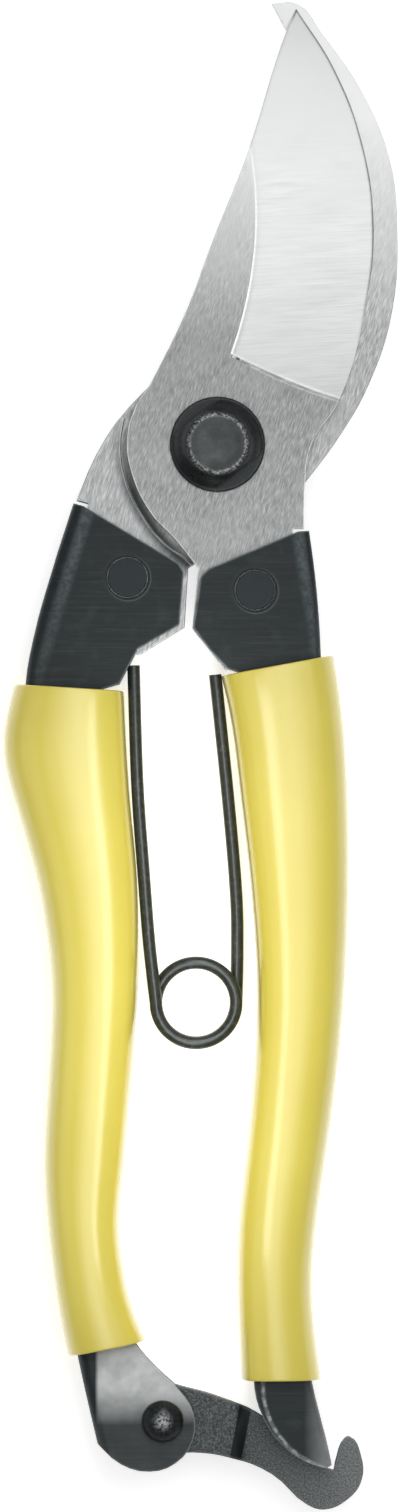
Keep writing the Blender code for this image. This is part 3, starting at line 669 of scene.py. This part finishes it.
# Bright edges: partly worn, partly a painted highlight.
edge = use_group(tree, edge_wear_and_glint, Radius=0.0005, Gain=6.0, Patch_scale=1500.0)
tone = layer(tree, edge.outputs["Mask"], tone, (0.30, 0.31, 0.30))
tree.links.new(tone, shader.inputs["Base Color"])
tree.links.new(spread(tree, specks, 0.26, 0.46, 0.3, 0.8), shader.inputs["Roughness"])
relief(tree, shader, specks, 0.00004, 0.35)
print("made", black.name)

# %% Latch skin
forged, tree, shader = finish("latch_steel_forged", (0.03, 0.035, 0.036), 0.46, 0.4)
shader.inputs["Specular IOR Level"].default_value = 0.3
specks = clouds(tree, 4600.0, 4.0)
tone = ramp(tree, specks, [
    (0.3, (0.022, 0.028, 0.029)), (0.5, (0.062, 0.07, 0.071)), (0.72, (0.19, 0.2, 0.2)),
])
# Painted highlight: the latch turns paler in flecks towards its hook.
toward_hook = spread(tree, along(tree, "X"), 0.0, 0.6, 0.004, 0.018)
pale = times(tree, toward_hook, spread(tree, specks, 0.4, 1.0, 0.4, 0.6))
tone = layer(tree, pale, tone, (0.30, 0.315, 0.315))
# Painted shade: the joggle's slope is painted dark.
joggle = stripe(tree, (2.4, -135.2), (3.8, -128.0), 0.72, 0.16)
tone = layer(tree, joggle, tone, (0.006, 0.009, 0.010))
# Bright edges: partly worn, partly a painted highlight.
edge = use_group(tree, edge_wear_and_glint, Radius=0.0007, Gain=6.0, Patch_scale=800.0)
tone = layer(tree, edge.outputs["Mask"], tone, (0.2, 0.21, 0.21))
tree.links.new(tone, shader.inputs["Base Color"])
tree.links.new(spread(tree, specks, 0.4, 0.56, 0.3, 0.8), shader.inputs["Roughness"])
relief(tree, shader, specks, 0.00004, 0.4)
print("made", forged.name)

# %% [markdown]
# ### Spring wire and vinyl
# Oiled spring wire is nearly black with a greenish cast.
# The vinyl grips were dipped: a smooth, deep yellow with a clear gloss on top.

# %% Spring wire
wire_steel, tree, shader = finish("spring_wire_oiled", (0.03, 0.034, 0.03), 0.34, 0.5)
specks = clouds(tree, 1500.0, 4.0)
tone = ramp(tree, specks, [
    (0.3, (0.034, 0.04, 0.037)), (0.6, (0.055, 0.062, 0.057)), (0.8, (0.11, 0.117, 0.11)),
])
tree.links.new(tone, shader.inputs["Base Color"])
tree.links.new(spread(tree, specks, 0.28, 0.42, 0.3, 0.8), shader.inputs["Roughness"])
relief(tree, shader, specks, 0.00003, 0.3)
print("made", wire_steel.name)

# %% Yellow vinyl
vinyl, tree, shader = finish("yellow_vinyl_dipped", (0.75, 0.635, 0.10), 0.34, 0.0)
shader.inputs["Coat Weight"].default_value = 1.0
shader.inputs["Coat Roughness"].default_value = 0.2
broad = clouds(tree, 45.0)
deeper = spread(tree, broad, 0.0, 1.0, 0.35, 0.7)
tone = layer(tree, deeper, (0.76, 0.645, 0.10), (0.71, 0.595, 0.085))
fine = clouds(tree, 900.0, 2.0)
tree.links.new(tone, shader.inputs["Base Color"])
tree.links.new(spread(tree, fine, 0.3, 0.4), shader.inputs["Roughness"])
relief(tree, shader, fine, 0.00002, 0.12)
print("made", vinyl.name)

# %% [markdown]
# ## From a bmesh to a finished piece
# Every new piece ends in the same way: its normals point out, it gets its finish, its
# smooth shading breaks at real edges only, it rides on a body and it hides the plain
# node that it stands for.

# %% Finish a piece
WELD = 0.000001


def make_piece(name, work, materials, body, nodes, crease=28.0, level_flats=True):
    """Turns a bmesh into a shaded object that moves with a body."""
    bmesh.ops.recalc_face_normals(work, faces=work.faces)
    mesh = bpy.data.meshes.new(name)
    work.to_mesh(mesh)
    work.free()
    for material in materials:
        mesh.materials.append(material)
    mesh.shade_smooth()
    mesh.set_sharp_from_angle(angle=math.radians(crease))
    piece = bpy.data.objects.new(name, mesh)
    scene.collection.objects.link(piece)
    if body:
        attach(piece, body)
    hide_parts(*nodes)
    if level_flats:
        level = piece.modifiers.new("Level flats", "WEIGHTED_NORMAL")
        level.mode = "FACE_AREA"
        level.weight = 60
        level.keep_sharp = True
    print(name, "has", len(mesh.polygons), "faces")
    return piece


def node_copy(node):
    """A bmesh of a node, with its loose triangles merged and its flat areas joined."""
    work = bmesh.new()
    work.from_mesh(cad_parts[node].data)
    bmesh.ops.remove_doubles(work, verts=work.verts, dist=WELD)
    bmesh.ops.dissolve_limit(
        work, angle_limit=math.radians(0.8), verts=work.verts, edges=work.edges
    )
    return work


def soften(work, width, least=40.0):
    """Rounds every edge sharper than least degrees."""
    sharp = [
        edge for edge in work.edges
        if len(edge.link_faces) == 2 and edge.calc_face_angle() > math.radians(least)
    ]
    bmesh.ops.bevel(
        work, geom=sharp, offset=width * MM, offset_type="OFFSET", segments=2,
        profile=0.5, affect="EDGES", material=-1, clamp_overlap=True,
    )


print("piece helpers ready")

# %% [markdown]
# ## Pressed parts
# These pieces already have the right shape. A copy gets its edges rounded by a fraction
# of a millimetre, because a real sheared or pressed edge always catches a line of light.

# %% Handles, counter blade, latch and small hardware
PRESSED = [
    ("counter_blade", "left_lever", counter_steel, 0.18),
    ("left_handle", "left_lever", slate["left"], 0.25),
    ("right_handle", "right_lever", slate["right"], 0.25),
    ("pivot_bolt", "left_lever", black, 0.2),
    ("pivot_washer", "left_lever", black, 0.08),
    ("left_tang_rivet", "left_lever", slate["left"], 0.1),
    ("right_tang_rivet", "right_lever", slate["right"], 0.1),
    ("latch", "latch", forged, 0.3),
    ("latch_washer", "left_lever", black, 0.08),
]
for node, body, material, width in PRESSED:
    copy = node_copy(node)
    soften(copy, width)
    make_piece(node + "_pressed", copy, [material], body, [node])

# %% [markdown]
# ## Grips
# Dipped vinyl has no hard edge anywhere. The node's loft is turned back into quads, a
# tight loop is kept at each end, and a subdivision surface does the rest.

# %% Grips
for side in ("left", "right"):
    work = bmesh.new()
    work.from_mesh(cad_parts[side + "_grip"].data)
    bmesh.ops.remove_doubles(work, verts=work.verts, dist=WELD)
    bmesh.ops.join_triangles(
        work, faces=work.faces, angle_face_threshold=math.radians(60.0),
        angle_shape_threshold=math.radians(80.0),
    )
    rims = [
        edge for edge in work.edges
        if len(edge.link_faces) == 2 and edge.calc_face_angle() > math.radians(60.0)
    ]
    bmesh.ops.bevel(
        work, geom=rims, offset=0.35 * MM, offset_type="OFFSET", segments=2,
        profile=0.5, affect="EDGES", material=-1, clamp_overlap=True,
    )
    grip = make_piece(
        side + "_grip_dipped", work, [vinyl], side + "_lever", [side + "_grip"], 180.0,
        level_flats=False,
    )
    subdivide = grip.modifiers.new("Subdivision", "SUBSURF")
    subdivide.levels = 2
    subdivide.render_levels = 2

# %% [markdown]
# ## Cutting blade
# The bevel is a hollow cut whose inner border bows towards the edge. A flat cut would
# leave a straight border, so the blade is cut again here with a curved tool: a grid that
# follows the border on one side and leaves a thin cutting edge on the other.

# %% Plates from an outline
CORNER = "corner"


def plain_object(name, data):
    """An object in the scene, with no finish and no body."""
    piece = bpy.data.objects.new(name, data)
    scene.collection.objects.link(piece)
    return piece


def plate(name, outline, low, high, steps=12):
    """A flat plate from a closed outline. A point marked CORNER stays sharp."""
    curve = bpy.data.curves.new(name, "CURVE")
    curve.dimensions = "2D"
    curve.fill_mode = "BOTH"
    curve.extrude = (high - low) / 2 * MM
    spline = curve.splines.new("BEZIER")
    spline.bezier_points.add(len(outline) - 1)
    spline.use_cyclic_u = True
    spline.resolution_u = steps
    for knot, point in zip(spline.bezier_points, outline):
        knot.co = (point[0] * MM, point[1] * MM, 0.0)
        kind = "VECTOR" if CORNER in point else "AUTO"
        knot.handle_left_type = kind
        knot.handle_right_type = kind
    source = plain_object(name, curve)
    bpy.context.view_layer.update()
    graph = bpy.context.evaluated_depsgraph_get()
    work = bmesh.new()
    work.from_mesh(bpy.data.meshes.new_from_object(source.evaluated_get(graph)))
    bpy.data.objects.remove(source, do_unlink=True)
    bmesh.ops.translate(work, vec=(0.0, 0.0, (low + high) / 2 * MM), verts=work.verts)
    bmesh.ops.remove_doubles(work, verts=work.verts, dist=WELD)
    return work


def cut(work, cutter):
    """Takes one closed bmesh out of another and returns what is left."""
    pair = []
    for name, source in (("stock", work), ("tool", cutter)):
        bmesh.ops.recalc_face_normals(source, faces=source.faces)
        mesh = bpy.data.meshes.new(name)
        source.to_mesh(mesh)
        source.free()
        pair.append(plain_object(name, mesh))
    stock, tool = pair
    boolean = stock.modifiers.new("Cut", "BOOLEAN")
    boolean.operation = "DIFFERENCE"
    boolean.solver = "EXACT"
    boolean.object = tool
    bpy.context.view_layer.update()
    graph = bpy.context.evaluated_depsgraph_get()
    left = bmesh.new()
    left.from_mesh(bpy.data.meshes.new_from_object(stock.evaluated_get(graph)))
    bpy.data.objects.remove(stock, do_unlink=True)
    bpy.data.objects.remove(tool, do_unlink=True)
    bmesh.ops.remove_doubles(left, verts=left.verts, dist=WELD)
    return left


def round_tool(centre, radius):
    """A long cylinder for drilling."""
    work = bmesh.new()
    bmesh.ops.create_cone(
        work, cap_ends=True, segments=64, radius1=radius * MM, radius2=radius * MM,
        depth=60.0 * MM,
    )
    bmesh.ops.translate(work, vec=(centre[0] * MM, centre[1] * MM, 0.0), verts=work.verts)
    return work


print("plate tools ready")

# %% Curved grinding tool
BLADE_BACK, BLADE_FRONT = 6.7, 9.9
EDGE_THICKNESS = 0.42
HEEL_RUN = 0.5
TOOL_TOP = 24.0
FLAT = 0.9995


def ease(value):
    """A smooth step from 0 to 1."""
    value = min(max(value, 0.0), 1.0)
    return value * value * (3.0 - 2.0 * value)


def bevel_border(y):
    """X of the bevel's inner border at a height."""
    return 4.87 - 0.0096 * (y - 30.6) ** 2


def bevel_heel(x):
    """Height of the bevel's lower end at an x."""
    reach = x - 1.47
    return 11.8 - 0.54 * reach + 0.0085 * reach * reach


def edge_table(work, step=0.25, top=60.0):
    """The rightmost x of a plate's front at every step of height."""
    spans = [
        (edge.verts[0].co / MM, edge.verts[1].co / MM) for edge in work.edges
        if min(vert.co.z for vert in edge.verts) > (BLADE_FRONT - 0.01) * MM
    ]
    table = []
    for row in range(int(top / step)):
        y = row * step
        found = [
            first.x + (last.x - first.x) * (y - first.y) / (last.y - first.y)
            for first, last in spans if (first.y - y) * (last.y - y) < 0.0
        ]
        table.append(max(found, default=table[-1] if table else 16.0))
    return table, step


def edge_at(table, y):
    """Reads the table between its rows."""
    rows, step = table
    place = min(max(y / step, 0.0), len(rows) - 1.001)
    row = int(place)
    return rows[row] + (rows[row + 1] - rows[row]) * (place - row)


def grinding_tool(table):
    """A closed block whose underside is the bevel's hollow face."""
    work = bmesh.new()
    bmesh.ops.create_grid(work, x_segments=48, y_segments=110, size=0.5)
    for vert in work.verts:
        across = (vert.co.x + 0.5) * 27.0 - 0.6
        start = 11.0
        for _ in range(6):
            start = bevel_heel(bevel_border(start) + across)
        share = (vert.co.y + 0.5) ** 1.6
        y = start - 0.4 + share * (64.0 - start)
        width = max(edge_at(table, y) - bevel_border(y), 2.0)
        depth = (BLADE_FRONT - BLADE_BACK - EDGE_THICKNESS) * min(across / width, 1.25)
        depth *= ease((y - start) / HEEL_RUN)
        if y < start or across < 0.0:
            depth = -0.05
        vert.co = Vector((bevel_border(y) + across, y, BLADE_FRONT - depth)) * MM
    shell = bmesh.ops.extrude_face_region(work, geom=work.faces[:])
    raised = [item for item in shell["geom"] if isinstance(item, bmesh.types.BMVert)]
    for vert in raised:
        vert.co.z = TOOL_TOP * MM
    return work


print("bevel border at the heel:", round(bevel_border(11.8), 2))

# %% Cutting blade
PIVOT_BORE, RIVET_BORE = 3.25, 1.75
GROUND_SLOT, HEEL_HIGHLIGHT_SLOT, OWN_SLOT = 1, 2, -1
BLADE_OUTLINE = [
    (10.5, 58.2, CORNER), (15.5, 50.3), (19.2, 40.6), (20.8, 29.6), (19.9, 19.3),
    (16.1, 5.7), (12.4, -0.2), (11.6, -6.0), (11.5, -11.2, CORNER), (10.0, -11.2, CORNER),
    (10.9, -23.8, CORNER), (1.1, -30.2, CORNER), (-3.4, -24.5, CORNER), (-2.6, -16.4, CORNER),
    (-5.8, -12.4), (-8.8, -9.2), (-11.5, -3.5), (-12.0, 1.0), (-10.9, 5.0), (-9.0, 8.0, CORNER),
    (-4.4, 17.3), (-0.6, 27.3), (3.8, 38.4), (9.1, 55.0),
]
blade = plate("cutting_blade_stock", BLADE_OUTLINE, BLADE_BACK, BLADE_FRONT)
blade = cut(blade, grinding_tool(edge_table(blade)))
blade = cut(blade, round_tool((0.0, 0.0), PIVOT_BORE))
blade = cut(blade, round_tool(RIVETS["right"], RIVET_BORE))
blade.normal_update()
for face in blade.faces:
    middle = face.calc_center_median() / MM
    inside = BLADE_BACK + 0.1 < middle.z < BLADE_FRONT - 0.02
    if 0.9 < face.normal.z < FLAT and inside:
        face.material_index = GROUND_SLOT
    elif -0.1 < face.normal.z < 0.9 and face.normal.y > 0.5 and 2.0 < middle.x < 18.5 and inside:
        face.material_index = HEEL_HIGHLIGHT_SLOT


def on_front(edge):
    """True where an edge joins the flat front and a wall."""
    heights = sorted(face.normal.z for face in edge.link_faces)
    return len(heights) == 2 and abs(heights[0]) < 0.3 and heights[1] > FLAT


def at_heel(edge):
    """True where one of the edge's faces is the step at the bevel's lower end."""
    return any(face.material_index == HEEL_HIGHLIGHT_SLOT for face in edge.link_faces)


for heel, width, slot in ((True, 0.2, HEEL_HIGHLIGHT_SLOT), (False, 0.12, OWN_SLOT)):
    bmesh.ops.bevel(
        blade, geom=[edge for edge in blade.edges if on_front(edge) and at_heel(edge) == heel],
        offset=width * MM, offset_type="OFFSET", segments=2, profile=0.5, affect="EDGES",
        material=slot, clamp_overlap=True,
    )
make_piece(
    "cutting_blade_ground", blade, [steel, ground, heel_highlight], "right_lever", ["cutting_blade"], 20.0,
)

# %% [markdown]
# ## Pivot nut and latch rivet
# Both are turned: half an outline is spun about the axis. The nut is then sliced along
# two parallel planes, which leaves the spanner flats and shows the washer below them.

# %% A turned shape


def smooth_run(points, per_span):
    """More points on a smooth line through the given ones, ends included."""
    found = []
    for index in range(len(points) - 1):
        before = Vector(points[max(index - 1, 0)])
        here, there = Vector(points[index]), Vector(points[index + 1])
        after = Vector(points[min(index + 2, len(points) - 1)])
        for step in range(per_span):
            t = step / per_span
            found.append(0.5 * (
                2.0 * here + (there - before) * t
                + (2.0 * before - 5.0 * here + 4.0 * there - after) * t * t
                + (3.0 * here - before - 3.0 * there + after) * t ** 3
            ))
    found.append(Vector(points[-1]))
    return found


def spun(profile, centre, steps=96):
    """Spins (radius, height) points about a vertical axis at centre."""
    work = bmesh.new()
    rib = [work.verts.new((radius * MM, 0.0, height * MM)) for radius, height in profile]
    for first, second in zip(rib, rib[1:]):
        work.edges.new((first, second))
    bmesh.ops.spin(
        work, geom=work.verts[:] + work.edges[:], cent=(0.0, 0.0, 0.0), axis=(0.0, 0.0, 1.0),
        angle=math.tau, steps=steps, use_merge=True,
    )
    bmesh.ops.remove_doubles(work, verts=work.verts, dist=WELD)
    bmesh.ops.translate(work, vec=(centre[0] * MM, centre[1] * MM, 0.0), verts=work.verts)
    return work


print("spinning tool ready")

# %% Nut
FLATS_TURN = 39.0
FLATS_REACH = 4.55

dome = smooth_run([
    (0.0, 14.98), (2.2, 15.0), (3.3, 15.12), (3.85, 15.15), (4.3, 14.85), (4.75, 14.2),
    (5.3, 13.2), (5.85, 12.4), (6.05, 11.9),
], 4)
profile = [tuple(point) for point in dome] + [(6.1, 11.7), (6.1, 11.2), (0.0, 11.2)]
nut = spun(profile, (0.0, 0.0))
for side in (0.0, math.pi):
    away = Matrix.Rotation(math.radians(FLATS_TURN) + side, 3, "Z") @ Vector((0.0, 1.0, 0.0))
    sliced = bmesh.ops.bisect_plane(
        nut, geom=nut.verts[:] + nut.edges[:] + nut.faces[:], dist=0.0000001,
        plane_co=away * FLATS_REACH * MM, plane_no=away, clear_outer=True,
    )
    rim = [item for item in sliced["geom_cut"] if isinstance(item, bmesh.types.BMEdge)]
    bmesh.ops.edgeloop_fill(nut, edges=rim)
soften(nut, 0.12, 40.0)
make_piece("pivot_nut_turned", nut, [black], "left_lever", ["pivot_nut"], 35.0)

# %% Latch rivet
low_corner, high_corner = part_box("latch_rivet")
top = high_corner.z / MM
bottom = low_corner.z / MM
dome = smooth_run([
    (0.0, top), (0.9, top - 0.06), (1.7, top - 0.3), (2.35, top - 0.85), (2.75, top - 1.4),
    (2.85, top - 1.6),
], 4)
profile = [tuple(point) for point in dome] + [
    (1.9, top - 1.62), (1.9, bottom + 0.95), (2.75, bottom + 0.9), (2.5, bottom + 0.2),
    (0.0, bottom),
]
rivet = spun(profile, LATCH_PIVOT, 64)
make_piece("latch_rivet_domed", rivet, [black], "left_lever", ["latch_rivet"], 35.0)

# %% [markdown]
# ## Hairpin spring
# One wire runs down beside the left handle, round the coil one and a half times and up
# beside the right handle. Its ends are free. It is one piece, and it rides on no body.

# %% Spring
COIL = (-2.85, -74.4)
COIL_RADIUS = 5.35
COIL_TOP, COIL_DROP = 8.15, 2.7
WIRE_RADIUS = 0.85
BLEND_REACH = 4.5


def coil_point(angle):
    """A point of the coil; it starts at 180 degrees and sinks as it turns."""
    sink = (angle - 180.0) / 540.0
    turn = math.radians(angle)
    return (
        COIL[0] + COIL_RADIUS * math.cos(turn),
        COIL[1] + COIL_RADIUS * math.sin(turn),
        COIL_TOP - COIL_DROP * sink,
    )


left_arm = smooth_run([
    (-11.2, -29.4, 7.2), (-10.7, -45.0, 7.6), (-9.85, -57.0, 7.9), (-9.1, -66.5, 8.1),
    coil_point(180.0),
], 12)
coil = [Vector(coil_point(180.0 + 4.5 * step)) for step in range(1, 120)]
right_arm = smooth_run([
    coil_point(720.0), (2.65, -67.5, 5.5), (2.5, -60.0, 5.7), (1.5, -48.0, 6.0), (-0.3, -30.6, 6.4),
], 12)
line = left_arm + coil + right_arm
curve = bpy.data.curves.new("spring_line", "CURVE")
curve.dimensions = "3D"
curve.bevel_depth = WIRE_RADIUS * MM
curve.bevel_resolution = 5
curve.use_fill_caps = True
spline = curve.splines.new("POLY")
spline.points.add(len(line) - 1)
for knot, point in zip(spline.points, line):
    knot.co = (*(point * MM), 1.0)
guide = plain_object("spring_line", curve)
bpy.context.view_layer.update()
graph = bpy.context.evaluated_depsgraph_get()
work = bmesh.new()
work.from_mesh(bpy.data.meshes.new_from_object(guide.evaluated_get(graph)))
bpy.data.objects.remove(guide, do_unlink=True)
bmesh.ops.remove_doubles(work, verts=work.verts, dist=WELD)
spring = make_piece(
    "hairpin_spring", work, [wire_steel], None, ["spring_left_arm", "spring_right_arm"], 45.0,
)
reach = Vector((0.9965, 0.083, 0.0)) * BLEND_REACH
middle = Vector((*COIL, 6.8))
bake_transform(spring)

# %% [markdown]
# ## Finish
# The sizes of the visual model's box and of the engineering model's box are printed.

# %% Sizes
visual_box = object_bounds()
for label, box in (("cad", cad_box), ("visual", visual_box)):
    print(label, [[round(value / MM, 2) for value in corner] for corner in box])
